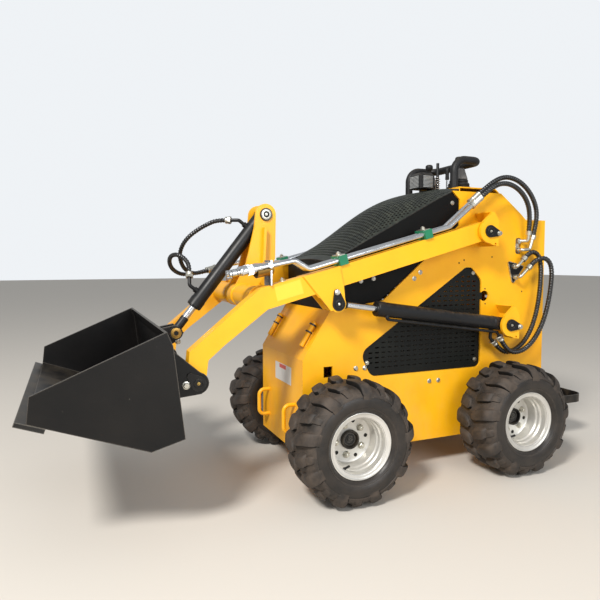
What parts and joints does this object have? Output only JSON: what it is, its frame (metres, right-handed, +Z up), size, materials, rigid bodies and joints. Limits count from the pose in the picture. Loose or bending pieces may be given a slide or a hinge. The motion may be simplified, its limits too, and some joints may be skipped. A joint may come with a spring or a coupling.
{
  "type": "mini wheel loader",
  "caption": "Stand-on mini skid-steer wheel loader: boxed lift arms over a sloped tower body, mast-mounted tilt cylinder, wide bucket, deep-dish rims and lugged tyres.",
  "frame": {"origin": "on the ground, at the middle of the overall length and width", "axes": "+Z up, -Y towards the bucket (forward), +X towards the machine's left"},
  "size_m": [0.984, 2.4629, 1.3396],
  "materials": {
    "yellow_paint": "satin",
    "black_paint": "satin",
    "mesh_black": "satin",
    "tyre": "matt, dusty",
    "rim_zinc": "satin silver",
    "bright_steel": "polished",
    "worn_steel": "worn",
    "clamp_green": "moulded",
    "black_rubber": "matt",
    "engine_grey": "painted",
    "lamp_body": "cast",
    "fitting_zinc": "zinc plated",
    "hose_rubber": "wrapped"
  },
  "bodies": {
    "chassis": {"side_plates": "yellow_paint", "mesh_panels": "mesh_black", "nose_shell": "yellow_paint", "belly_plate": "yellow_paint", "rear_panel": "yellow_paint", "tower_cover": "yellow_paint", "hood": "mesh_black", "engine_block": "engine_grey", "pivot_ears": "yellow_paint", "pivot_pins": "black_paint", "axle_stubs": "black_paint", "platform": "black_paint", "tie_down_loops": "yellow_paint", "hand_rail": "black_rubber", "joysticks": "black_rubber", "work_lamp": "lamp_body", "hose_ports": "fitting_zinc", "arm_hose_left_a": "hose_rubber", "arm_hose_left_b": "hose_rubber", "cylinder_hose_left_a": "hose_rubber", "cylinder_hose_left_b": "hose_rubber", "arm_hose_right_a": "hose_rubber", "arm_hose_right_b": "hose_rubber", "cylinder_hose_right_a": "hose_rubber", "cylinder_hose_right_b": "hose_rubber"},
    "lift_arms": {"arm_left": "yellow_paint", "arm_right": "yellow_paint", "cross_tube": "yellow_paint", "tilt_mast": "yellow_paint", "arm_pins": "black_paint", "arm_pipes": "bright_steel", "pipe_clamps": "clamp_green", "tilt_hose_upper": "hose_rubber", "tilt_hose_lower": "hose_rubber"},
    "bucket": {"attach_plate": "black_paint", "attach_pins": "black_paint", "bucket_shell": "black_paint", "cutting_edge": "worn_steel"},
    "left_barrel": {"lift_barrel_left": "black_paint"},
    "right_barrel": {"lift_barrel_right": "black_paint"},
    "left_rod": {"lift_rod_left": "bright_steel"},
    "right_rod": {"lift_rod_right": "bright_steel"},
    "mast_barrel": {"tilt_barrel": "black_paint"},
    "mast_rod": {"tilt_rod": "bright_steel"},
    "wheel_front_left": {"tyre_front_left": "tyre", "rim_front_left": "rim_zinc"},
    "wheel_front_right": {"tyre_front_right": "tyre", "rim_front_right": "rim_zinc"},
    "wheel_rear_left": {"tyre_rear_left": "tyre", "rim_rear_left": "rim_zinc"},
    "wheel_rear_right": {"tyre_rear_right": "tyre", "rim_rear_right": "rim_zinc"}
  },
  "joints": [
    {"name": "spin_front_left", "type": "hinge", "parent": "chassis", "child": "wheel_front_left", "pos_m": [0.3795, -0.1545, 0.2285], "axis": [-1, 0, 0], "continuous": true},
    {"name": "spin_front_right", "type": "hinge", "parent": "chassis", "child": "wheel_front_right", "pos_m": [-0.3795, -0.1545, 0.2285], "axis": [-1, 0, 0], "continuous": true},
    {"name": "spin_rear_left", "type": "hinge", "parent": "chassis", "child": "wheel_rear_left", "pos_m": [0.3795, 0.6125, 0.2285], "axis": [-1, 0, 0], "continuous": true},
    {"name": "spin_rear_right", "type": "hinge", "parent": "chassis", "child": "wheel_rear_right", "pos_m": [-0.3795, 0.6125, 0.2285], "axis": [-1, 0, 0], "continuous": true},
    {"name": "lift", "type": "hinge", "parent": "chassis", "child": "lift_arms", "pos_m": [0, 0.508, 0.998], "axis": [-1, 0, 0], "range_deg": [-13, 60], "deforming": ["arm_hose_left_a", "arm_hose_left_b", "arm_hose_right_a", "arm_hose_right_b"]},
    {"name": "tilt", "type": "hinge", "parent": "lift_arms", "child": "bucket", "pos_m": [0, -0.698, 0.474], "axis": [1, 0, 0], "range_deg": [-20, 125]},
    {"name": "left_barrel_swing", "type": "hinge", "parent": "chassis", "child": "left_barrel", "pos_m": [0.296, 0.63, 0.607], "axis": [-1, 0, 0], "range_deg": [-9.47, 43.73], "deforming": ["cylinder_hose_left_a", "cylinder_hose_left_b"]},
    {"name": "left_rod_slide", "type": "slide", "parent": "left_barrel", "child": "left_rod", "axis": [0, -0.9903, 0.1387], "range_m": [-0.0683, 0.3153]},
    {"name": "right_barrel_swing", "type": "hinge", "parent": "chassis", "child": "right_barrel", "pos_m": [-0.296, 0.63, 0.607], "axis": [-1, 0, 0], "range_deg": [-9.47, 43.73], "deforming": ["cylinder_hose_right_a", "cylinder_hose_right_b"]},
    {"name": "right_rod_slide", "type": "slide", "parent": "right_barrel", "child": "right_rod", "axis": [0, -0.9903, 0.1387], "range_m": [-0.0683, 0.3153]},
    {"name": "mast_barrel_swing", "type": "hinge", "parent": "lift_arms", "child": "mast_barrel", "pos_m": [0, -0.359, 1.062], "axis": [1, 0, 0], "range_deg": [-0.33, 2.07], "deforming": ["tilt_hose_upper", "tilt_hose_lower"]},
    {"name": "mast_rod_slide", "type": "slide", "parent": "mast_barrel", "child": "mast_rod", "axis": [0, -0.6173, -0.7867], "range_m": [-0.0393, 0.2458]}
  ],
  "couplings": [
    {"joint": "left_barrel_swing", "follows": "lift", "ratio": 0.7145},
    {"joint": "left_rod_slide", "follows": "lift", "m_per_rad": 0.29521},
    {"joint": "right_barrel_swing", "follows": "lift", "ratio": 0.7145},
    {"joint": "right_rod_slide", "follows": "lift", "m_per_rad": 0.29521},
    {"joint": "mast_barrel_swing", "follows": "tilt", "ratio": 0.0162},
    {"joint": "mast_rod_slide", "follows": "tilt", "m_per_rad": 0.11044}
  ]
}
